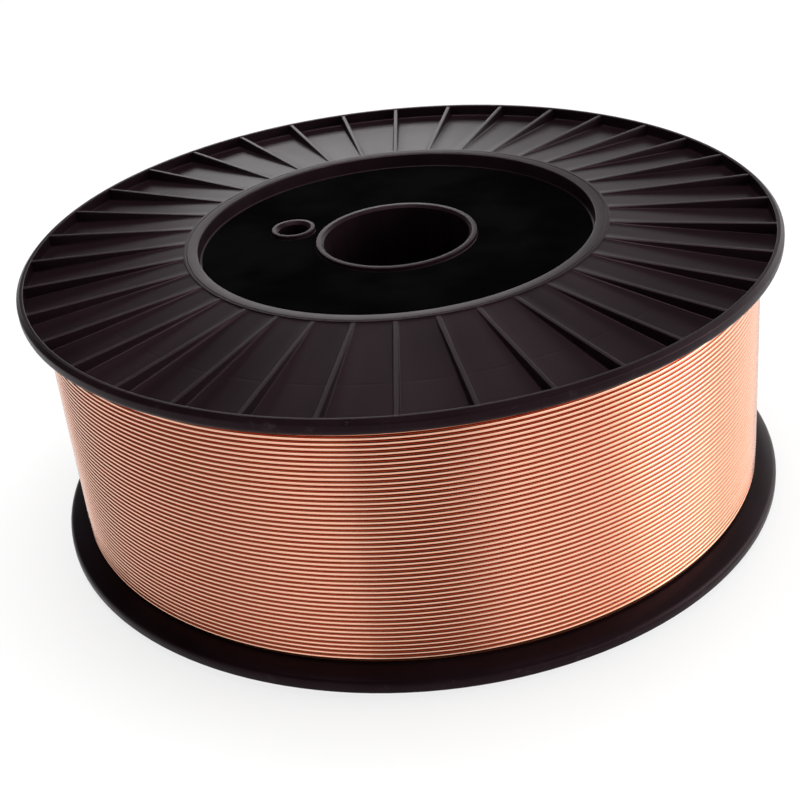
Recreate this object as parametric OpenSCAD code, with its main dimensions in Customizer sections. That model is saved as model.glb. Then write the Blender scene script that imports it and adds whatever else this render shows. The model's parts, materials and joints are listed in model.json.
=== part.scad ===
// Plastic spool full of copper-coated welding wire, lying on its lower flange.
// The origin is at the centre of the face that it stands on, and +Z is the spool's axis.

/* [Flanges] */
// Outer diameter of both flanges
flange_d = 270; // [262:1:300]
// Width of the whole spool, from one land to the other
overall_w = 103; // [80:1:130]
// Thickness of a flange at its rim
rim_t = 7; // [6.5:0.1:9]
// Width of the rim's flat top
rim_w = 2.6; // [2:0.1:4]
// Height of the rim above the dished floor beside it
rim_h = 4.4; // [3.5:0.1:4.6]
// Height of the rim's straight outer wall
rim_wall_h = 3.2; // [3:0.1:3.8]
// Radius of the rounding under the rim's outer wall
rim_round_r = 2.15; // [1:0.05:2.4]
// Width of the sloping face between that rounding and the wire side
rim_bevel_w = 3.8; // [2:0.1:5]
// Diameter of the faint crease where the dished floor bends
crease_d = 220; // [190:1:230]
// Depth of the floor below the land at the crease
crease_depth = 3.75; // [2.5:0.05:4.5]
// Wall of the flange at the crease
crease_wall = 2.8; // [2:0.1:4]
// Wall of the flange where it leaves the barrel
root_wall = 3.2; // [2.4:0.1:5]

/* [Ribs] */
// Number of radial ribs on each flange
rib_count = 36; // [12:1:48]
// Thickness of a rib
rib_t = 1.6; // [1:0.1:3]
// Height of a rib's inner end above the floor
rib_root_h = 0.15; // [0.1:0.05:0.25]
// How far the ribs stay below the rim's top
rib_under_rim = 0.2; // [0.1:0.05:1]

/* [Land and recess] */
// Diameter of the recess in the middle of each flange
recess_d = 141.8; // [125:0.1:150]
// Width of the flat land round the recess
land_w = 5.1; // [4.5:0.1:8]
// How far the land stands above the rim
land_proud = 1.5; // [0.5:0.1:2.5]
// Step from the land down to the dished floor
land_step = 0.3; // [0.3:0.05:0.8]
// Depth of the recess below the land
recess_depth = 5.1; // [3.6:0.1:12]
// Thickness of the recessed hub plate
plate_t = 3; // [2:0.1:5]
// Wall of the barrel
barrel_wall = 3.2; // [2:0.1:4.5]

/* [Spindle bore] */
// Diameter of the spindle bore
bore_d = 52.5; // [40:0.1:56]
// Wall of the spindle tube
hub_wall = 2.75; // [1.5:0.05:4]
// Width of the chamfer at each mouth of the spindle bore
bore_chamfer = 0.95; // [0.3:0.05:1.2]
// Height of the collars above the recessed plate
collar_h = 1.7; // [1.3:0.1:3]

/* [Drive-pin hole] */
// Diameter of the drive-pin hole
pin_d = 11; // [8:0.1:13]
// Distance of the drive-pin hole from the spool's axis
pin_reach = 40.5; // [40:0.1:55]
// Wall of the drive-pin tube
pin_wall = 2.5; // [1.5:0.1:3]
// Width of the chamfer at each mouth of the drive-pin hole
pin_chamfer = 1.1; // [0.3:0.05:1.3]

/* [Wire] */
// Outer diameter of the wound wire
coil_d = 255; // [180:1:258]
// Diameter of the wire itself
wire_d = 1.6; // [0.8:0.1:3]
// Least gap between neighbouring turns of the outer layer
turn_gap = 0.12; // [0.02:0.01:0.5]
// Gap between the wire and the plastic
coil_gap = 0.1; // [0.05:0.05:0.5]

/* [Label] */
// Thickness of the blank label
label_t = 0.3; // [0.1:0.05:0.8]
// Gap between the label and the wall of the recess
label_edge_gap = 0.9; // [0.3:0.1:4]
// Gap between the label and the collars
label_collar_gap = 0.4; // [0.2:0.1:2]

/* [Hidden] */
$fn = 180;

// Angle that the rounding under the rim's outer wall turns through, and its number of flats
rim_round_angle = 78;
rim_round_steps = 6;
// Small bevel on the rim's outer top edge
rim_edge = 0.4;
// How far a rib reaches into the land, and its foot into the flange's wall
root_in = 1;
foot_in = 0.6;
// Extra length of a cutter past the face that it leaves
past = 1;
// Where the outline of a turn leaves its round crest, and where it ends in the groove beside it
crest_angle = 25;
groove_angle = 75;

// Heights count up from the middle of the barrel, where the two halves meet
half_w = overall_w / 2;
rim_top = half_w - land_proud;
plate_top = half_w - recess_depth;
plate_under = plate_top - plate_t;
collar_top = plate_top + collar_h;

flange_r = flange_d / 2;
rim_in_r = flange_r - rim_w;
recess_r = recess_d / 2;
land_r = recess_r + land_w;
barrel_r = recess_r + barrel_wall;
crease_r = crease_d / 2;
bore_r = bore_d / 2;
hub_r = bore_r + hub_wall;
pin_r = pin_d / 2;
pin_tube_r = pin_r + pin_wall;

// The outer side of the flange: its floor at the land, at the crease and at the rim
floor_land = half_w - land_step;
floor_crease = half_w - crease_depth;
floor_rim = rim_top - rim_h;

// The wire side of the flange: at the barrel, at the crease and at the rim
wire_root = floor_land - root_wall;
wire_crease = floor_crease - crease_wall;
wire_rim = rim_top - rim_t;

// The rounding under the rim, and where the sloping face and the wire side meet
round_c_r = flange_r - rim_round_r;
round_c_z = rim_top - rim_wall_h;
round_end_r = round_c_r + rim_round_r * cos(rim_round_angle);
bevel_in_r = round_end_r - rim_bevel_w;

// Outline of the rim's rounding, from the end of the sloping face up to the outer wall
rim_round = [
    for (i = [0:rim_round_steps])
        let (a = -rim_round_angle * (1 - i / rim_round_steps))
            [round_c_r + rim_round_r * cos(a), round_c_z + rim_round_r * sin(a)]
];

// The side of one half that faces the wire, from the joint out to the rim
wire_side = [
    [barrel_r, 0],
    [barrel_r, wire_root],
    [crease_r, wire_crease],
    [bevel_in_r, wire_rim]
];

// The side that faces away from the wire, from the rim in to the recess
outer_side = [
    [flange_r, rim_top - rim_edge],
    [flange_r - rim_edge, rim_top],
    [rim_in_r, rim_top],
    [rim_in_r, floor_rim],
    [crease_r, floor_crease],
    [land_r, floor_land],
    [land_r, half_w],
    [recess_r, half_w]
];

// The recessed plate and the spindle tube under it
middle = [
    [recess_r, plate_top],
    [hub_r, plate_top],
    [hub_r, collar_top],
    [bore_r + bore_chamfer, collar_top],
    [bore_r, collar_top - bore_chamfer],
    [bore_r, 0],
    [hub_r, 0],
    [hub_r, plate_under],
    [recess_r, plate_under],
    [recess_r, 0]
];

// Everything on a half that is turned about the axis
module turned_body() {
    rotate_extrude()
        polygon(concat(wire_side, rim_round, outer_side, middle));
}

// One radial rib, along +X, with its foot inside the flange wall
module rib() {
    rib_outline = [
        [land_r - root_in, floor_land + rib_root_h],
        [land_r, floor_land + rib_root_h],
        [rim_in_r, rim_top - rib_under_rim],
        [rim_in_r + rim_w / 2, rim_top - rib_under_rim],
        [rim_in_r + rim_w / 2, floor_rim],
        [rim_in_r, floor_rim - foot_in],
        [crease_r, floor_crease - foot_in],
        [land_r - root_in, floor_land - foot_in]
    ];
    rotate([90, 0, 0])
        translate([0, 0, -rib_t / 2])
            linear_extrude(rib_t)
                polygon(rib_outline);
}

// The bore of the drive-pin tube, with a chamfer at its mouth
module pin_bore() {
    translate([0, 0, -past])
        cylinder(r = pin_r, h = collar_top + 2 * past);
    translate([0, 0, collar_top - pin_chamfer])
        cylinder(r1 = pin_r, r2 = pin_r + pin_chamfer + past, h = pin_chamfer + past);
}

// One moulded half, with the joint at z = 0 and the drive-pin hole on the -X side
module spool_half() {
    difference() {
        union() {
            turned_body();
            for (i = [0:rib_count - 1])
                rotate([0, 0, i * 360 / rib_count])
                    rib();
            translate([-pin_reach, 0, 0])
                cylinder(r = pin_tube_r, h = collar_top);
        }
        translate([-pin_reach, 0, 0])
            pin_bore();
    }
}

module upper_half() {
    color([0.13, 0.11, 0.11])
        translate([0, 0, half_w])
            spool_half();
}

module lower_half() {
    color([0.13, 0.11, 0.11])
        translate([0, 0, half_w])
            mirror([0, 0, 1])
                spool_half();
}

// The outline of one turn in the outer layer, from the groove below it to the groove above it
function turn_outline(coil_r, z) =
    let (
        r = wire_d / 2,
        groove_r = coil_r - r + r * cos(groove_angle)
    )
    [
        [groove_r, z - r * sin(groove_angle)],
        [coil_r, z - r * sin(crest_angle)],
        [coil_r, z + r * sin(crest_angle)],
        [groove_r, z + r * sin(groove_angle)]
    ];

// The wound wire fills the space between the flanges and follows their dished sides
module wire_coil() {
    coil_r = coil_d / 2;
    coil_in_r = barrel_r + coil_gap;
    // Height of the wire side of the flange at radius r
    function wire_z(r) =
        r < crease_r
            ? wire_root + (wire_crease - wire_root) * (r - barrel_r) / (crease_r - barrel_r)
            : wire_crease + (wire_rim - wire_crease) * (r - crease_r) / (bevel_in_r - crease_r);
    // The outer layer's turns fill the width that the flanges leave at the coil's outside
    outer_h = wire_z(coil_r) - coil_gap;
    turns = floor(2 * outer_h / (wire_d + turn_gap));
    pitch = 2 * outer_h / turns;
    outer_layer = [
        for (i = [0:turns - 1])
            each turn_outline(coil_r, -outer_h + (i + 0.5) * pitch)
    ];
    // The coil's ends, with the crease where the coil reaches it
    end_r = coil_r > crease_r ? [coil_in_r, crease_r, coil_r - wire_d / 2] : [coil_in_r, coil_r - wire_d / 2];
    lower_end = [for (r = end_r) [r, coil_gap - wire_z(r)]];
    upper_end = [for (i = [len(end_r) - 1:-1:0]) [end_r[i], wire_z(end_r[i]) - coil_gap]];
    color([0.72, 0.42, 0.28])
        translate([0, 0, half_w])
            rotate_extrude()
                polygon(concat(lower_end, outer_layer, upper_end));
}

// A thin disc on the upper plate, cut out round both collars
module blank_label() {
    color([0.02, 0.02, 0.02])
        translate([0, 0, half_w + plate_top])
            difference() {
                cylinder(r = recess_r - label_edge_gap, h = label_t);
                translate([0, 0, -past])
                    cylinder(r = hub_r + label_collar_gap, h = label_t + 2 * past);
                translate([-pin_reach, 0, -past])
                    cylinder(r = pin_tube_r + label_collar_gap, h = label_t + 2 * past);
            }
}

upper_half();
lower_half();
wire_coil();
blank_label();
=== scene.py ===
# %% [markdown]
# # A plastic spool full of copper-coated welding wire
# The spool lies on its lower flange. Two dished flanges with radial ribs hold a neatly layer-wound
# coil, and the recess in the middle has a spindle bore and a small drive-pin hole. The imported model
# gives the fixed frame: this script makes a finer mesh for each of its nodes, in the same place and at
# the same size, and gives each one its finish.

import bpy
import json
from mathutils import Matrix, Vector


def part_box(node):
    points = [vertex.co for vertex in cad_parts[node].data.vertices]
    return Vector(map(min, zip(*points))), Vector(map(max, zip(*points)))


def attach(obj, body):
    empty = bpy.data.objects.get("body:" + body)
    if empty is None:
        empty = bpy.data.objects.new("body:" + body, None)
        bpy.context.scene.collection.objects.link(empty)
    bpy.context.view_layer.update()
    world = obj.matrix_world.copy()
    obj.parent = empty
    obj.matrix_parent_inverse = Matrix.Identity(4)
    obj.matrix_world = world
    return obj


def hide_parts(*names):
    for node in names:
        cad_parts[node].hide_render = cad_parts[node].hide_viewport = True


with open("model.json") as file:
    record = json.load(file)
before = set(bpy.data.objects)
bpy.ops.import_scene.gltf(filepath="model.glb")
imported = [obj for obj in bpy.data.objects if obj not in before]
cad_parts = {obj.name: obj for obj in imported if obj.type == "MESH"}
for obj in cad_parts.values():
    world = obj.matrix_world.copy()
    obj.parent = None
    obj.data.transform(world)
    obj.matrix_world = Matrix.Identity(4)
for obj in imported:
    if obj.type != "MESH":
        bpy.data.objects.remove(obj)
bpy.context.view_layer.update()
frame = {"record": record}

import json
import math

import bmesh
import bpy
import numpy as np
from mathutils import Matrix, Vector

# %% [markdown]
# ## Sizes
# Blender works in metres, and a spool is easier to read in millimetres, so its sizes are written as a
# number times `MM`. The outer sizes and the two bores come from the frame, and the rest repeats the
# solids' own sizes. Heights are counted from the joint in the middle of the barrel, because the two
# mouldings are the same piece, one of them turned over.

# %% Sizes of the moulding
MM = 0.001

low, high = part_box("upper_half")
FLANGE_R = high.x
HALF_W = high.z - low.z
JOINT_Z = low.z

mount = {m["name"]: m for m in frame["record"]["mounts"]}
BORE_R = mount["spindle_bore"]["dims"]["r_mm"] * MM
PIN_R = mount["drive_pin_hole"]["dims"]["r_mm"] * MM
PIN_X = mount["drive_pin_hole"]["pos_m"][0]

RIM_TOP = HALF_W - 1.5 * MM
RIM_IN_R = FLANGE_R - 2.6 * MM
RIM_UNDER = RIM_TOP - 7.0 * MM
RIM_ROUND_R = 2.15 * MM
RIM_ROUND_Z = RIM_TOP - 3.2 * MM
RIM_BEVEL_W = 3.8 * MM
CREASE_R = 110 * MM
FLOOR_RIM = RIM_TOP - 4.4 * MM
FLOOR_CREASE = HALF_W - 3.75 * MM
FLOOR_LAND = HALF_W - 0.3 * MM
WIRE_CREASE = FLOOR_CREASE - 2.8 * MM
WIRE_ROOT = FLOOR_LAND - 3.2 * MM
RECESS_R = 70.9 * MM
LAND_R = RECESS_R + 5.1 * MM
BARREL_R = RECESS_R + 3.2 * MM
PLATE_TOP = HALF_W - 5.1 * MM
PLATE_UNDER = PLATE_TOP - 3.0 * MM
COLLAR_TOP = PLATE_TOP + 1.7 * MM
HUB_R = BORE_R + 2.75 * MM
PIN_TUBE_R = PIN_R + 2.5 * MM
BORE_CHAMFER = 0.95 * MM
PIN_CHAMFER = 1.1 * MM

RIBS = 36
RIB_HALF = 0.8 * MM
RIB_ROOT_H = 0.15 * MM
RIB_UNDER_RIM = 0.2 * MM

print("flange radius", round(FLANGE_R / MM, 2), "mm, half width", round(HALF_W / MM, 2), "mm")

# %% [markdown]
# ## Small tools
# A moulded edge is never sharp, so an outline is written as corners, each with its own rounding, and
# `rounded` puts an arc of a few points in place of each corner. `new_object` turns points and faces
# into a closed mesh, merges doubles, and points its normals outwards.

# %% Rounding and meshes
MERGE_GAP = 1e-6
SLIVER = 1e-7
SHARP_ANGLE = math.radians(35)


def rounded(corners, steps=3):
    """The outline through corners (r, z, rounding), with an arc in place of each rounded corner."""
    out = []
    for i, (r, z, size) in enumerate(corners):
        here = Vector((r, z))
        if size == 0 or i in (0, len(corners) - 1):
            out.append(here)
            continue
        back = (Vector(corners[i - 1][:2]) - here).normalized()
        ahead = (Vector(corners[i + 1][:2]) - here).normalized()
        half = back.angle(ahead) / 2
        run = size / math.tan(half)
        middle = here + (back + ahead).normalized() * (size / math.sin(half))
        first = here + back * run - middle
        last = here + ahead * run - middle
        for k in range(steps + 1):
            out.append(middle + first.lerp(last, k / steps).normalized() * size)
    return [tuple(p) for p in out]


def new_object(name, points, faces, levels=()):
    """A closed mesh object. At each height in levels, flat faces close what the other faces leave open."""
    mesh = bpy.data.meshes.new(name)
    mesh.from_pydata(points, [], faces)
    work = bmesh.new()
    work.from_mesh(mesh)
    bmesh.ops.remove_doubles(work, verts=work.verts, dist=MERGE_GAP)
    bmesh.ops.dissolve_degenerate(work, edges=work.edges, dist=SLIVER)
    for level in levels:
        border = [e for e in work.edges
                  if e.is_boundary and all(abs(v.co.z - level) < MERGE_GAP for v in e.verts)]
        bmesh.ops.triangle_fill(work, edges=border, use_beauty=True)
    bmesh.ops.recalc_face_normals(work, faces=work.faces)
    left_open = sum(e.is_boundary for e in work.edges)
    work.to_mesh(mesh)
    work.free()
    mesh.shade_smooth()
    mesh.set_sharp_from_angle(angle=SHARP_ANGLE)
    made = bpy.data.objects.new(name, mesh)
    bpy.context.collection.objects.link(made)
    print(name, "has", count(made), "triangles and", left_open, "open edges")
    return made


def turned(outline, centre=(0, 0), columns=96, closed=True):
    """Points and faces of an outline of (r, z) turned about a vertical axis."""
    points = []
    for k in range(columns):
        a = 2 * math.pi * k / columns
        points += [(centre[0] + r * math.cos(a), centre[1] + r * math.sin(a), z) for r, z in outline]
    return points, grid_faces(columns, len(outline), closed)


def grid_faces(columns, rows, closed=True):
    """Quads of a grid that goes right round, with its last row joined to its first where it is closed."""
    faces = []
    for c in range(columns):
        d = (c + 1) % columns
        for i in range(rows if closed else rows - 1):
            j = (i + 1) % rows
            faces.append((c * rows + i, d * rows + i, d * rows + j, c * rows + j))
    return faces


def together(*parts):
    """Several sets of points and faces as one."""
    points, faces = [], []
    for more_points, more_faces in parts:
        base = len(points)
        points += more_points
        faces += [tuple(base + i for i in face) for face in more_faces]
    return points, faces


def count(piece):
    piece.data.calc_loop_triangles()
    return len(piece.data.loop_triangles)


# %% [markdown]
# ## The moulded half
# Each half is one injection moulding. Most of it is turned about the axis, and only the ribs and the
# drive-pin tube break the turn. One grid makes the turned body and the ribs together: its rows follow
# the outline, its columns go round, and where a column crosses a rib the point is lifted to the rib's
# surface. So a rib grows out of the flange with a fillet at its foot and a soft top edge, as it does in
# plastic, and the moulding stays one skin. The columns run beside each rib at fixed distances from its
# middle, so its sides stay parallel. The drive-pin tube is turned about its own axis and joined on.

# %% Outline of the half
ROUND_ANGLE = math.radians(78)
ROUND_STEPS = 6
round_centre_r = FLANGE_R - RIM_ROUND_R
under_end_r = round_centre_r + RIM_ROUND_R * math.cos(ROUND_ANGLE)
bevel_in_r = under_end_r - RIM_BEVEL_W
RIM_LINE_R = FLANGE_R - 1.35 * MM
RIM_LINE_STEP = 0.14 * MM
RIM_SHOULDER = 1.25 * MM
CREASE_LINE_W = 0.25 * MM
CREASE_LINE_DEPTH = 0.03 * MM
CREASE_NEAR = 1.2 * MM
RIM_FOOT_END_R = RIM_IN_R - 2 * MM
FLOOR_OUT_R = RIM_IN_R - 5 * MM
FLOOR_IN_R = LAND_R + MM
LAND_FOOT = 0.02 * MM
LAND_LINE_R = LAND_R - 1.15 * MM
LAND_LINE_W = 0.18 * MM
LAND_LINE_DEPTH = 0.14 * MM

# Roundings of the corners, from the rim in to the collars
ROOT_ROUND = 1.2 * MM
SHOULDER_ROUND = 0.8 * MM
LINE_ROUND = 0.04 * MM
RIM_EDGE = 0.3 * MM
RIM_FOOT = 0.6 * MM
LAND_EDGE = 0.1 * MM
RECESS_EDGE = 0.4 * MM
RECESS_FOOT = 0.5 * MM
COLLAR_EDGE = 0.25 * MM
CHAMFER_EDGE = 0.15 * MM


def wire_side():
    """The barrel, the wire side of the flange and the rounded rim."""
    side = rounded([
        (BARREL_R, 0, 0),
        (BARREL_R, WIRE_ROOT, ROOT_ROUND),
        (CREASE_R, WIRE_CREASE, 0),
        (bevel_in_r, RIM_UNDER, 0),
    ])
    for k in range(ROUND_STEPS + 1):
        a = -ROUND_ANGLE * (1 - k / ROUND_STEPS)
        side.append((round_centre_r + RIM_ROUND_R * math.cos(a), RIM_ROUND_Z + RIM_ROUND_R * math.sin(a)))
    return side


def ribbed_side():
    """The rim's top, the dished floor between the ribs and the step up to the land."""
    rim = rounded([
        (FLANGE_R, RIM_ROUND_Z, 0),
        (FLANGE_R, RIM_TOP - RIM_SHOULDER, SHOULDER_ROUND),
        (RIM_LINE_R, RIM_TOP - RIM_LINE_STEP, LINE_ROUND),
        (RIM_LINE_R, RIM_TOP, LINE_ROUND),
        (RIM_IN_R, RIM_TOP, RIM_EDGE),
        (RIM_IN_R, FLOOR_RIM, RIM_FOOT),
        (RIM_FOOT_END_R, floor_z(RIM_FOOT_END_R), 0),
    ], steps=4)[1:]
    outer = np.linspace(FLOOR_OUT_R, CREASE_R + CREASE_NEAR, 5)
    outer = np.append(outer, CREASE_R + CREASE_LINE_W)
    inner = np.linspace(CREASE_R - CREASE_NEAR, FLOOR_IN_R, 6)
    inner = np.append(CREASE_R - CREASE_LINE_W, inner)
    dished = [(float(r), floor_z(r)) for r in outer]
    dished += [(CREASE_R, FLOOR_CREASE - CREASE_LINE_DEPTH)]
    dished += [(float(r), floor_z(r)) for r in inner]
    return rim + dished + [(LAND_R, FLOOR_LAND)]


def middle():
    """The land, the recess with its plate, the spindle tube, and the hollow under the plate."""
    return rounded([
        (LAND_R, FLOOR_LAND + LAND_FOOT, 0),
        (LAND_R, HALF_W, LAND_EDGE),
        (LAND_LINE_R + LAND_LINE_W, HALF_W, 0),
        (LAND_LINE_R, HALF_W - LAND_LINE_DEPTH, 0),
        (LAND_LINE_R - LAND_LINE_W, HALF_W, 0),
        (RECESS_R, HALF_W, RECESS_EDGE),
        (RECESS_R, PLATE_TOP, RECESS_FOOT),
        (HUB_R, PLATE_TOP, RECESS_FOOT),
        (HUB_R, COLLAR_TOP, COLLAR_EDGE),
        (BORE_R + BORE_CHAMFER, COLLAR_TOP, CHAMFER_EDGE),
        (BORE_R, COLLAR_TOP - BORE_CHAMFER, 0),
        (BORE_R, 0, 0),
        (HUB_R, 0, 0),
        (HUB_R, PLATE_UNDER, 0),
        (RECESS_R, PLATE_UNDER, 0),
        (RECESS_R, 0, 0),
    ])


def floor_z(r):
    """Height of the dished floor at radius r, bent at the crease."""
    return float(np.interp(r, [LAND_R, CREASE_R, RIM_IN_R], [FLOOR_LAND, FLOOR_CREASE, FLOOR_RIM]))


# %% Surface of a rib
RIB_EDGE = 0.25 * MM
RIB_DRAFT = 0.06 * MM
RIB_FILLET = 0.5 * MM
SIDE_OFFSETS = [0, 0.45 * MM, 0.65 * MM, 0.76 * MM, RIB_HALF, 0.86 * MM, 0.95 * MM, 1.1 * MM, 1.36 * MM]


def rib_z(r, side):
    """Height of the ribbed surface at radius r and at a distance to the side of the rib's middle."""
    floor = floor_z(r)
    top = float(np.interp(r, [LAND_R, RIM_IN_R], [FLOOR_LAND + RIB_ROOT_H, RIM_TOP - RIB_UNDER_RIM]))
    tall = top - floor
    side = abs(side)
    over = max(0, side - (RIB_HALF - RIB_EDGE))
    edge = RIB_EDGE - math.sqrt(max(0, RIB_EDGE**2 - min(over, RIB_EDGE)**2))
    crest = tall - edge * min(1, tall / (2 * RIB_EDGE))
    away = side - RIB_HALF - RIB_DRAFT
    if away < -RIB_DRAFT / 2:
        return floor + crest
    reach = max(0, RIB_FILLET - max(0, away))
    foot = RIB_FILLET - math.sqrt(RIB_FILLET**2 - reach**2)
    return floor + max(0, min(crest, foot))


# %% Columns and the drive-pin tube
BETWEEN = [0.25, 0.5, 0.75]
PIN_CLEAR = math.radians(20)
PIN_COLUMNS = 64
PIN_FOOT_R = PIN_TUBE_R + 0.6 * MM


def column_plan():
    """Each column as (rib angle, side offset) beside a rib, or (rib angle, fraction) between two ribs."""
    plan = []
    sides = [-s for s in reversed(SIDE_OFFSETS[1:])] + SIDE_OFFSETS
    for k in range(RIBS):
        rib_angle = 2 * math.pi * k / RIBS
        plan += [("beside", rib_angle, s) for s in sides]
        plan += [("between", rib_angle, f) for f in BETWEEN]
    return plan


def column_angle(kind, rib_angle, value, r):
    if kind == "beside":
        return rib_angle + math.asin(value / r)
    edge = math.asin(SIDE_OFFSETS[-1] / r)
    return rib_angle + edge + value * (2 * math.pi / RIBS - 2 * edge)


def round_the_pin(face, plan, heights):
    """True for a face of the plate beside the drive-pin tube, which is filled in later."""
    rows = len(heights)
    first, last = heights[face[0] % rows], heights[face[2] % rows]
    on_plate = any(abs(first - z) < SLIVER and abs(last - z) < SLIVER for z in (PLATE_TOP, PLATE_UNDER))
    angle = column_angle(*plan[face[0] // rows], abs(PIN_X))
    return on_plate and abs(angle - math.pi) < PIN_CLEAR


def pin_tube():
    """The drive-pin tube, from its foot on the plate over its chamfered mouth and down to the joint."""
    return rounded([
        (PIN_FOOT_R, PLATE_TOP, 0),
        (PIN_TUBE_R, PLATE_TOP, RECESS_FOOT),
        (PIN_TUBE_R, COLLAR_TOP, COLLAR_EDGE),
        (PIN_R + PIN_CHAMFER, COLLAR_TOP, CHAMFER_EDGE),
        (PIN_R, COLLAR_TOP - PIN_CHAMFER, 0),
        (PIN_R, 0, 0),
        (PIN_TUBE_R, 0, 0),
        (PIN_TUBE_R, PLATE_UNDER, 0),
    ])


# %% Build the two halves
NUB_R = 0.6 * MM
NUB_ANGLE = math.radians(284)
NUB_OUT = 134.45 * MM
NUB_Z = JOINT_Z + RIM_TOP - 0.85 * MM


def nub():
    """The little raised pip that the moulding tool leaves on the upper rim's shoulder."""
    ball = [(NUB_R * math.cos(a), NUB_Z + NUB_R * math.sin(a)) for a in np.radians(range(-90, 91, 15))]
    centre = (NUB_OUT * math.cos(NUB_ANGLE), NUB_OUT * math.sin(NUB_ANGLE))
    return turned(ball, centre, columns=16, closed=False)


def moulded_half(name, up, *extra):
    """One half about the joint, with its ribbed side up (1) or down (-1)."""
    outline = [(p, False) for p in wire_side()]
    outline += [(p, True) for p in ribbed_side()]
    outline += [(p, False) for p in middle()]
    plan = column_plan()
    points = []
    for kind, rib_angle, value in plan:
        for (r, z), can_lift in outline:
            a = column_angle(kind, rib_angle, value, r)
            if can_lift and kind == "beside" and r <= RIM_IN_R + MERGE_GAP:
                z = max(z, rib_z(r, value))
            points.append((r * math.cos(a), r * math.sin(a), JOINT_Z + up * z))
    heights = [p[0][1] for p in outline]
    faces = [f for f in grid_faces(len(plan), len(outline)) if not round_the_pin(f, plan, heights)]
    tube = [(r, JOINT_Z + up * z) for r, z in pin_tube()]
    parts = together((points, faces), turned(tube, (PIN_X, 0), PIN_COLUMNS, closed=False), *extra)
    return new_object(name, *parts, levels=[JOINT_Z + up * PLATE_TOP, JOINT_Z + up * PLATE_UNDER])


upper_moulding = moulded_half("upper_moulding", 1, nub())
lower_moulding = moulded_half("lower_moulding", -1)

# %% [markdown]
# ## The wire
# The outer layer is one long wire, laid turn beside turn. A helix is a rule, so Geometry Nodes draw it:
# a line is cut into many points, each point is moved onto the helix by its own index, a little noise
# lets the turns waver, and a circle swept along it gives the round wire. Below it a plain turned core
# stands for the layers that the outer turns hide. It shows only at the bottom of the grooves, where its
# dark copper is painted shade. The tree and the shaders are full of sums, so a small class first lets
# Python expressions write the Math nodes.

# %% A socket that can do arithmetic
class Link:
    """A node's output that turns arithmetic into nodes."""

    def __init__(self, maker, socket):
        self.maker = maker
        self.socket = socket

    def math(self, operation, *others):
        return self.maker.math(operation, self, *others)

    def __add__(self, other):
        return self.math("ADD", other)

    def __radd__(self, other):
        return self.math("ADD", other)

    def __sub__(self, other):
        return self.math("SUBTRACT", other)

    def __rsub__(self, other):
        return self.maker.math("SUBTRACT", other, self)

    def __mul__(self, other):
        return self.math("MULTIPLY", other)

    def __rmul__(self, other):
        return self.math("MULTIPLY", other)

    def __truediv__(self, other):
        return self.math("DIVIDE", other)

    def __rtruediv__(self, other):
        return self.maker.math("DIVIDE", other, self)

    def between(self, start, end):
        """0 below start, 1 above end, and a smooth step between them."""
        settings = {"interpolation_type": "SMOOTHSTEP"}
        return self.maker.node("ShaderNodeMapRange", settings, {0: self, 1: start, 2: end}).out()


# %% Making nodes
class Made:
    """A node that was made, with its outputs by name or number."""

    def __init__(self, maker, node):
        self.maker = maker
        self.node = node

    def out(self, which=0):
        return Link(self.maker, self.node.outputs[which])


class Maker:
    """Makes nodes in one tree: a type, its settings, and the values or links of its sockets."""

    def __init__(self, tree):
        self.tree = tree

    def node(self, kind, settings=None, values=None):
        node = self.tree.nodes.new(kind)
        for key, value in (settings or {}).items():
            if key == "stops":
                self.ramp(node, value)
            else:
                setattr(node, key, value)
        for key, value in (values or {}).items():
            socket = node.inputs[key]
            if isinstance(value, Link):
                self.tree.links.new(value.socket, socket)
            else:
                socket.default_value = value
        return Made(self, node)

    def ramp(self, node, stops):
        elements = node.color_ramp.elements
        while len(elements) < len(stops):
            elements.new(0.5)
        for element, (place, colour) in zip(elements, stops):
            element.position = place
            element.color = colour

    def math(self, operation, *values):
        return self.node("ShaderNodeMath", {"operation": operation}, dict(enumerate(values))).out()

    def mix(self, factor, a, b):
        """A colour between a and b."""
        settings = {"data_type": "RGBA"}
        return self.node("ShaderNodeMix", settings, {0: factor, 6: a, 7: b}).out(2)

    def noise(self, vector, scale, detail=2.0, roughness=0.5):
        values = {"Vector": vector, "Scale": scale, "Detail": detail, "Roughness": roughness}
        return self.node("ShaderNodeTexNoise", {}, values).out(0)

    def vector(self, x, y, z):
        return self.node("ShaderNodeCombineXYZ", {}, {0: x, 1: y, 2: z}).out()


# %% The helix tree
WIRE_R = 0.8 * MM
COIL_R = 127.5 * MM
TURNS = 49
SEGMENTS = 190
SIDES = 8
WAVER = 0.06 * MM
WAVER_SCALE = 38.0


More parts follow.
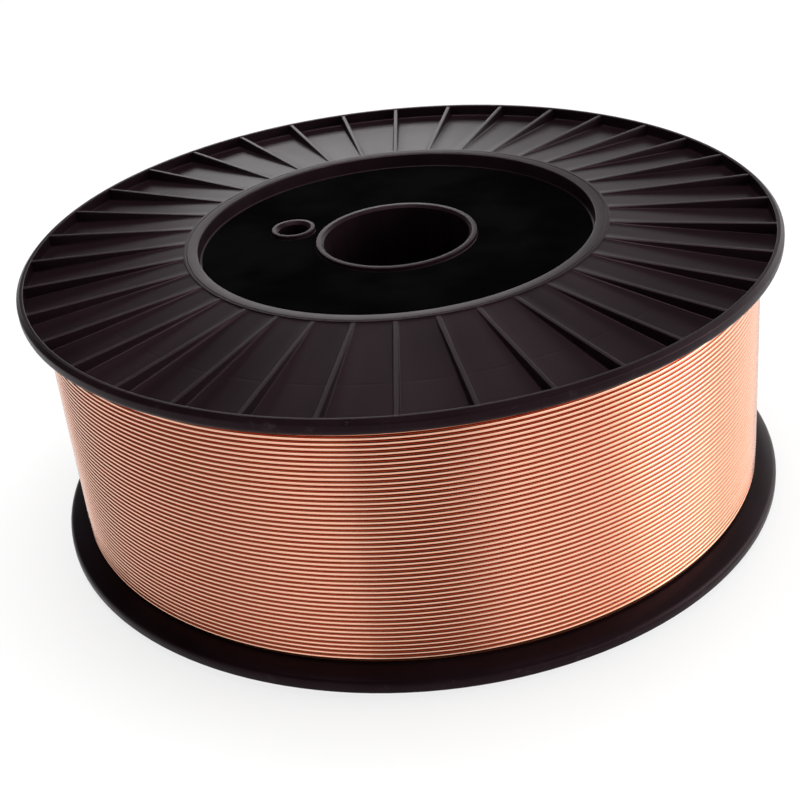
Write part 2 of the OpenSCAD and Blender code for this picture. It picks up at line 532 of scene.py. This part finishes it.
def helix_tree():
    """A wire wound on a helix about Z, with named inputs for its sizes."""
    tree = bpy.data.node_groups.new("wound wire", "GeometryNodeTree")
    sizes = ["Turns", "Centre radius", "Wire radius", "Lowest", "Highest", "Start angle", "Waver"]
    for name in sizes:
        tree.interface.new_socket(name, in_out="INPUT", socket_type="NodeSocketFloat")
    for name in ["Points", "Sides"]:
        tree.interface.new_socket(name, in_out="INPUT", socket_type="NodeSocketInt")
    tree.interface.new_socket("Finish", in_out="INPUT", socket_type="NodeSocketMaterial")
    tree.interface.new_socket("Wire", in_out="OUTPUT", socket_type="NodeSocketGeometry")

    make = Maker(tree)
    given = make.node("NodeGroupInput")
    line = make.node("GeometryNodeCurvePrimitiveLine")
    cut = make.node("GeometryNodeResampleCurve", {}, {"Curve": line.out(), "Count": given.out("Points")})
    along = make.node("GeometryNodeInputIndex").out() / (given.out("Points") - 1)
    angle = given.out("Start angle") + along * given.out("Turns") * (2 * math.pi)
    height = given.out("Lowest") + along * (given.out("Highest") - given.out("Lowest"))
    radius = given.out("Centre radius")
    place = make.vector(radius * angle.math("COSINE"), radius * angle.math("SINE"), height)
    helix = make.node("GeometryNodeSetPosition", {}, {"Geometry": cut.out(), "Position": place})
    here = make.node("GeometryNodeInputPosition").out()
    drift = (make.noise(here, scale=WAVER_SCALE, detail=3.0) - 0.5) * given.out("Waver") * 2
    shake = make.vector(0.0, 0.0, drift)
    laid = make.node("GeometryNodeSetPosition", {}, {"Geometry": helix.out(), "Offset": shake})
    level = make.node("GeometryNodeSetCurveNormal", {"mode": "Z_UP"}, {"Curve": laid.out()})
    ring = make.node("GeometryNodeCurvePrimitiveCircle", {},
                     {"Resolution": given.out("Sides"), "Radius": given.out("Wire radius")})
    swept = make.node("GeometryNodeCurveToMesh", {},
                      {"Curve": level.out(), "Profile Curve": ring.out(), "Fill Caps": True})
    soft = make.node("GeometryNodeSetShadeSmooth", {}, {"Geometry": swept.out()})
    real = make.node("GeometryNodeRealizeInstances", {}, {"Geometry": soft.out()})
    finish = make.node("GeometryNodeSetMaterial", {},
                       {"Geometry": real.out(), "Material": given.out("Finish")})
    make.node("NodeGroupOutput", {}, {0: finish.out()})
    return tree


def from_tree(name, tree, inputs):
    """A plain mesh object made by a geometry tree with these named inputs."""
    holder = bpy.data.objects.new(name, bpy.data.meshes.new(name))
    bpy.context.collection.objects.link(holder)
    step = holder.modifiers.new("tree", "NODES")
    step.node_group = tree
    for item in tree.interface.items_tree:
        if item.in_out == "INPUT" and item.name in inputs:
            step[item.identifier] = inputs[item.name]
    holder.data.update()
    view = bpy.context.evaluated_depsgraph_get()
    plain = bpy.data.meshes.new_from_object(holder.evaluated_get(view))
    holder.modifiers.clear()
    holder.data = plain
    plain.name = name
    return holder


# %% [markdown]
# ## Finishes
# Every finish starts from one Principled shader. Values that stay the same go straight onto its
# sockets, and patterns join only the sockets that may vary over the surface, such as Base Color,
# Roughness and Normal. The patterns read Object coordinates, so they stay where they are on the piece.
# The radius and the angle about the axis are worked out from those, because the moulding and the wire
# have marks that run outwards or round.

# %% Start a material
def start(name, **constants):
    """A material with an empty Principled shader, whose constant values are set on its own sockets."""
    material = bpy.data.materials.new(name)
    material.use_nodes = True
    tree = material.node_tree
    tree.nodes.clear()
    make = Maker(tree)
    shader = make.node("ShaderNodeBsdfPrincipled", {}, constants)
    make.node("ShaderNodeOutputMaterial", {}, {"Surface": shader.out()})
    return material, make, shader


def join(make, shader, **links):
    for name, link in links.items():
        make.tree.links.new(link.socket, shader.node.inputs[name.replace("_", " ")])


def around(make):
    """Object coordinates, with the height, and the radius and the angle about the axis."""
    where = make.node("ShaderNodeTexCoord").out("Object")
    split = make.node("ShaderNodeSeparateXYZ", {}, {0: where})
    x, y, z = split.out(0), split.out(1), split.out(2)
    radius = (x * x + y * y).math("SQRT")
    angle = y.math("ARCTAN2", x)
    return where, z, radius, angle


def bump(make, height, strength, distance):
    values = {"Strength": strength, "Distance": distance, "Height": height}
    return make.node("ShaderNodeBump", {}, values).out()


# %% [markdown]
# ### Moulded plastic
# The real flange is black-brown plastic, so dark that nearly all that is seen of it is its sheen. One
# flat black would look like a hole in the picture. Here the base is close to black, the sheen has a
# warm tint, and colour and roughness drift in soft clouds and in streaks that run outwards, the way the
# plastic flowed into its mould. A fine grain goes to the bump, and the rim's outer edge is a little
# paler, where it rubs.

# %% Moulded plastic
PLASTIC_SHEEN = {"IOR": 1.49, "Specular IOR Level": 0.11, "Specular Tint": (1, 0.58, 0.67, 1)}
PLASTIC_DARK = (0.0048, 0.0022, 0.0032, 1)
PLASTIC_LIGHT = (0.0082, 0.0042, 0.0056, 1)
PLASTIC_FLOW = (0.012, 0.0065, 0.0085, 1)
PLASTIC_WORN = (0.1, 0.09, 0.095, 1)
WORN_FROM_R = FLANGE_R - 0.9 * MM
WORN_FULL_R = FLANGE_R - 0.1 * MM


def moulded_plastic():
    """Black-brown plastic with a fine grain, faint flow marks outwards and rubbed rim edges."""
    material, make, shader = start("moulded_plastic", **PLASTIC_SHEEN)
    where, z, radius, angle = around(make)
    flow = make.noise(make.vector(angle * 9.0, radius * 6.0, z * 6.0), scale=1.0, detail=4.0)
    cloud = make.noise(where, scale=22.0, detail=4.0)
    grain = make.noise(where, scale=2600.0)
    scuffs = make.noise(where, scale=160.0, detail=6.0, roughness=0.7).between(0.56, 0.72)
    edge = radius.between(WORN_FROM_R, WORN_FULL_R)
    worn = scuffs * edge
    shade = make.mix(cloud.between(0.3, 0.7), PLASTIC_DARK, PLASTIC_LIGHT)
    shade = make.mix(flow.between(0.35, 0.75) * 0.35, shade, PLASTIC_FLOW)
    colour = make.mix(worn * 0.15, shade, PLASTIC_WORN)
    rough = 0.27 + flow * 0.08 + cloud * 0.06 + worn * 0.15
    height = grain * 0.5 + flow * 0.5
    relief = bump(make, height, strength=0.25, distance=0.06 * MM)
    join(make, shader, Base_Color=colour, Roughness=rough, Normal=relief)
    return material


# %% [markdown]
# ### Copper coating
# Welding wire is steel with a thin coat of copper, drawn bright. One copper colour all over makes the
# coil look like smooth pipe, because light that leaves a groove has met copper several times and is
# redder each time. So shade is painted into the colour by the distance from the coil's outside: the pale
# copper of the crest, and a painted groove shade, darker and redder, on the flank, which is also rougher.
# Streaks along the wire and slow patches over a few turns break the shine. A thin coat stands for the
# film of drawing grease, which pales the coil's edge where it is seen at a slant. The layers under the
# outer one get a much darker copper from the same function, as painted shade at the bottom of the grooves.

# %% Copper coating
GREASE_FILM = {"Coat Weight": 0.3, "Coat Roughness": 0.12, "Coat IOR": 1.5}
CREST_DEPTH = 0.03 * MM
FLANK_DEPTH = 0.36 * MM


def coppered(name, crest, shaded_flank, dull, rough_low):
    """Copper on drawn steel wire: bright outside, with a painted groove shade, darker and redder, where it
    turns in to its neighbour.
    """
    material, make, shader = start(name, Metallic=1.0, **GREASE_FILM)
    _, z, radius, angle = around(make)
    # Painted groove shade: 0 on the crest, 1 on the flank, where the turn meets its neighbour.
    painted_groove_shade = (COIL_R - radius).between(CREST_DEPTH, FLANK_DEPTH)
    streak = make.noise(make.vector(angle * 14.0, z * 5200.0, radius * 2400.0), scale=1.0, detail=3.0)
    patch = make.noise(make.vector(angle * 3.0, z * 300.0, 0.0), scale=1.0, detail=3.0)
    uneven = (streak * 0.6 + patch * 0.4).between(0.35, 0.7)
    # The colour runs from the crest's copper to the painted groove shade of the flank, with uneven patches
    # over it.
    colour = make.mix(uneven * 0.3, make.mix(painted_groove_shade, crest, shaded_flank), dull)
    rough = rough_low + streak * 0.1 + patch * 0.08 + painted_groove_shade * 0.15
    relief = bump(make, streak, strength=0.12, distance=0.04 * MM)
    join(make, shader, Base_Color=colour, Roughness=rough, Normal=relief)
    return material


# %% [markdown]
# ### Blank label
# The disc in the recess is matt black with nothing printed on it. Paper this black has no clear sheen,
# so its specular level is zero, and only faint clouds and the bump of the fibres are left to see.

# %% Blank label
PAPER_DARK = (0.0010, 0.0010, 0.0010, 1)
PAPER_LIGHT = (0.0024, 0.0023, 0.0024, 1)


def black_paper():
    """Matt black paper with a fine tooth, nothing printed on it."""
    material, make, shader = start("black_paper", **{"Specular IOR Level": 0.0})
    where = make.node("ShaderNodeTexCoord").out("Object")
    fibre = make.noise(where, scale=900.0, detail=4.0, roughness=0.65)
    cloud = make.noise(where, scale=30.0, detail=3.0)
    colour = make.mix(cloud.between(0.35, 0.65), PAPER_DARK, PAPER_LIGHT)
    rough = 0.82 + fibre * 0.12
    relief = bump(make, fibre, strength=0.3, distance=0.05 * MM)
    join(make, shader, Base_Color=colour, Roughness=rough, Normal=relief)
    return material


# %% Make the four finishes
plastic = moulded_plastic()
copper = coppered("bright_copper", crest=(0.83, 0.49, 0.35, 1), shaded_flank=(0.70, 0.18, 0.08, 1),
                  dull=(0.68, 0.27, 0.15, 1), rough_low=0.06)
# Painted shade: the core's copper is much darker than the wire's, to darken the bottom of the grooves.
painted_shade_copper = coppered("painted_shade_copper", crest=(0.30, 0.08, 0.03, 1), shaded_flank=(0.30, 0.08, 0.03, 1),
                         dull=(0.20, 0.05, 0.02, 1), rough_low=0.3)
paper = black_paper()
print("finishes:", [m.name for m in (plastic, copper, painted_shade_copper, paper)])

# %% [markdown]
# ## Wind the coil and lay the label
# The helix runs from one flange to the other and starts at the back, where the free end is tucked in.
# Only the outer layer is wound: the layers below it would cost millions of triangles and show nothing.
# The label is a thin disc, cut out round both collars, made as three walls between two flat faces.

# %% Wind the outer layer
BACK = math.radians(112)
END_GAP = 0.05 * MM
lowest = JOINT_Z - RIM_UNDER + WIRE_R + END_GAP
highest = JOINT_Z + RIM_UNDER - WIRE_R - END_GAP
wire_turns = from_tree("wire_turns", helix_tree(), {
    "Turns": float(TURNS), "Centre radius": COIL_R - WIRE_R, "Wire radius": WIRE_R,
    "Lowest": lowest, "Highest": highest, "Start angle": BACK, "Waver": WAVER,
    "Points": TURNS * SEGMENTS + 1, "Sides": SIDES, "Finish": copper,
})
pitch = (highest - lowest) / TURNS
print("wire:", TURNS, "turns at", round(pitch / MM, 3), "mm,", count(wire_turns), "triangles")

# %% The layers under it
CORE_R = COIL_R - 1.25 * MM
CORE_GAP = 0.1 * MM


def core_z(r):
    """Half the height of the room for wire at radius r, less the gap to the flange."""
    wire_side_z = [WIRE_ROOT, WIRE_CREASE, RIM_UNDER]
    return float(np.interp(r, [BARREL_R, CREASE_R, bevel_in_r], wire_side_z)) - CORE_GAP


core_radii = [BARREL_R + CORE_GAP, CREASE_R, CORE_R]
core_outline = [(r, JOINT_Z + core_z(r)) for r in core_radii]
core_outline += [(r, JOINT_Z - core_z(r)) for r in reversed(core_radii)]
coil_core = new_object("coil_core", *turned(core_outline, columns=192))

# %% Lay the label
LABEL_T = 0.3 * MM
LABEL_R = RECESS_R - 0.9 * MM
LABEL_GAP = 0.4 * MM
LABEL_EDGE = 0.05 * MM
label_z = JOINT_Z + PLATE_TOP


def label_wall(r, outwards):
    """One wall of the label, from its underside up, with a soft top edge."""
    top = label_z + LABEL_T
    return [(r, label_z), (r, top - LABEL_EDGE), (r - outwards * LABEL_EDGE, top)]


label_disc = new_object("label_disc", *together(
    turned(label_wall(LABEL_R, 1), columns=160, closed=False),
    turned(label_wall(HUB_R + LABEL_GAP, -1), columns=128, closed=False),
    turned(label_wall(PIN_TUBE_R + LABEL_GAP, -1), (PIN_X, 0), PIN_COLUMNS, closed=False),
), levels=[label_z, label_z + LABEL_T])

# %% [markdown]
# ## Hand every piece to its body
# The spool has no moving parts, so every piece rides on the one body, `root`. Each piece stands for the
# solid whose place it takes.

# %% Bodies, slots and finishes
for piece, node, slot, finish in [
    (upper_moulding, "upper_half", "spool_plastic", plastic),
    (lower_moulding, "lower_half", "spool_plastic", plastic),
    (wire_turns, "wire_coil", "coppered_wire", copper),
    # The core's darker copper is painted shade in the grooves.
    (coil_core, "wire_coil", "coppered_wire", painted_shade_copper),
    (label_disc, "blank_label", "label", paper),
]:
    piece.data.materials.clear()
    piece.data.materials.append(finish)
    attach(piece, "root")
    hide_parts(node)
    print(piece.name, "stands for", node)

# %% [markdown]
# ## Floor, light and camera
# The photograph is a studio picture on white, taken from about thirty degrees above the floor. The
# camera was placed by matching the ellipses of both rims and of the recess, and its small roll is in
# the photograph too. The floor is pale. Most of what the camera sees of it is plain white, so it reads
# as white paper and still keeps a soft shadow round the lower rim.

# %% Camera
CAMERA_AT = Vector((0.1874, -0.4577, 0.3104))
AIM = Vector((0.0082, -0.0323, 0.0500))
ROLL = math.radians(-6.1)
LENS = 67.06

camera = bpy.data.objects.new("camera", bpy.data.cameras.new("camera"))
bpy.context.collection.objects.link(camera)
camera.data.lens = LENS
camera.data.sensor_width = 36
camera.data.clip_start = 0.01
turn = (AIM - CAMERA_AT).to_track_quat("-Z", "Y").to_matrix().to_4x4()
camera.matrix_world = Matrix.Translation(CAMERA_AT) @ turn @ Matrix.Rotation(ROLL, 4, "Z")
bpy.context.scene.camera = camera
print("camera", [round(v, 3) for v in CAMERA_AT], "lens", LENS)

# %% Floor
FLOOR_R = 4.0
FLOOR_Z = -0.1 * MM
FLOOR_GREY = 0.9
PLAIN_WHITE = 0.8


def background_rays(make):
    """Two masks: the camera's own rays, and those that a surface reflects or lets through."""
    path = make.node("ShaderNodeLightPath")
    seen = path.out("Is Camera Ray")
    reflected = path.out("Is Glossy Ray").math("MAXIMUM", path.out("Is Transmission Ray"))
    return seen, reflected


floor_mesh = bpy.data.meshes.new("floor")
floor_angles = np.linspace(0, 2 * math.pi, 64, endpoint=False)
floor_ring = [(FLOOR_R * math.cos(a), FLOOR_R * math.sin(a), FLOOR_Z) for a in floor_angles]
floor_mesh.from_pydata(floor_ring, [], [range(len(floor_ring))])
floor = bpy.data.objects.new("floor", floor_mesh)
bpy.context.collection.objects.link(floor)

floor_finish = bpy.data.materials.new("pale_floor")
floor_finish.use_nodes = True
floor_finish.node_tree.nodes.clear()
make = Maker(floor_finish.node_tree)
seen, reflected = background_rays(make)
matt = make.node("ShaderNodeBsdfDiffuse", {}, {"Color": (FLOOR_GREY, FLOOR_GREY, FLOOR_GREY, 1)})
white = make.node("ShaderNodeEmission", {}, {"Color": (1, 1, 1, 1), "Strength": 1.0})
share = seen.math("MAXIMUM", reflected) * PLAIN_WHITE
blend = make.node("ShaderNodeMixShader", {}, {0: share, 1: matt.out(), 2: white.out()})
make.node("ShaderNodeOutputMaterial", {}, {"Surface": blend.out()})
floor_mesh.materials.append(floor_finish)

# %% [markdown]
# ### Studio walls
# A round coil mirrors the whole room, so the bands on the copper tell where the studio was bright. They
# could come from a row of lamps, but a gradient round the horizon is smoother and quicker to render. It
# has a bright panel on the left and a larger one on the right, with a narrow dark gap on the camera's
# side, and it fades upwards so that the near part of the flange stays dark. For the camera itself the
# world is plain white.

# %% World
CAMERA_SIDE = Vector((CAMERA_AT.x, CAMERA_AT.y, 0)).normalized()
RIGHT_SIDE = Vector((-CAMERA_SIDE.y, CAMERA_SIDE.x, 0))
CEILING_START = 0.26
CEILING_END = 0.5
CEILING_DIM = 0.85
HORIZON_START = 0.02
HORIZON_END = 0.12
WALLS = {-180: 0.8, -150: 0.12, -125: 0.04, -100: 0.04, -70: 0.4, -40: 1.7, -22: 1.8, -18: 0.06,
         8: 0.06, 26: 2.2, 55: 2.4, 80: 4.4, 130: 2.4, 180: 0.8}


def grey_stops(brightness):
    """Ramp stops from a brightness for each azimuth: 0 is the camera's side, 90 is on its right."""
    return [(azimuth / 360 + 0.5, (value, value, value, 1)) for azimuth, value in brightness.items()]


world = bpy.data.worlds.new("studio")
world.use_nodes = True
world.node_tree.nodes.clear()
bpy.context.scene.world = world
make = Maker(world.node_tree)
direction = make.node("ShaderNodeTexCoord").out("Generated")
split = make.node("ShaderNodeSeparateXYZ", {}, {0: direction})
x, y, z = split.out(0), split.out(1), split.out(2)
toward = x * CAMERA_SIDE.x + y * CAMERA_SIDE.y
side = x * RIGHT_SIDE.x + y * RIGHT_SIDE.y
azimuth = side.math("ARCTAN2", toward) / (2 * math.pi) + 0.5
walls = make.node("ShaderNodeValToRGB", {"stops": grey_stops(WALLS)}, {0: azimuth}).out()
ceiling = z.between(CEILING_START, CEILING_END)
gradient = walls * (1 - ceiling * CEILING_DIM)
seen, reflected = background_rays(make)
horizon = reflected * (1 - z.between(HORIZON_START, HORIZON_END))
strength = seen + (1 - seen) * gradient.math("MAXIMUM", horizon)
back = make.node("ShaderNodeBackground", {}, {"Color": (1, 1, 1, 1), "Strength": strength})
make.node("ShaderNodeOutputWorld", {}, {"Surface": back.out()})
print("studio walls, from", min(WALLS.values()), "to", max(WALLS.values()))


# %% [markdown]
# ### Lamps
# Three soft boxes do the rest. The overhead one gives the dark flange its broad sheen and the shadow
# its soft edge. The one on the right lights the rim and the coil's bright end, and the low one on the
# far side is mirrored in the far part of the flange, which is the brightest plastic in the photograph.

# %% Lamps
def softbox(name, azimuth, elevation, distance, width, height, power):
    """An area lamp aimed at the spool. Azimuth 0 is the camera's side, and 90 is on its right."""
    a, e = math.radians(azimuth), math.radians(elevation)
    level = CAMERA_SIDE * math.cos(a) + RIGHT_SIDE * math.sin(a)
    outward = level * math.cos(e) + Vector((0, 0, math.sin(e)))
    lamp = bpy.data.lights.new(name, "AREA")
    lamp.shape = "RECTANGLE"
    lamp.size = width
    lamp.size_y = height
    lamp.energy = power
    lamp_object = bpy.data.objects.new(name, lamp)
    bpy.context.collection.objects.link(lamp_object)
    place = Vector((0, 0, HALF_W)) + outward * distance
    aim = (-outward).to_track_quat("-Z", "Y").to_matrix().to_4x4()
    lamp_object.matrix_world = Matrix.Translation(place) @ aim
    print(name, "at", [round(v, 2) for v in place], power, "W")


softbox("overhead", azimuth=180, elevation=83, distance=1.3, width=0.8, height=0.6, power=20.0)
softbox("right_side", azimuth=80, elevation=22, distance=1.3, width=0.6, height=0.7, power=4.0)
softbox("far_side", azimuth=184, elevation=18, distance=1.4, width=0.45, height=0.3, power=1.5)

# %% [markdown]
# ## Close
# The picture uses plain Standard colours.

# %% Close
bpy.context.scene.view_settings.view_transform = "Standard"
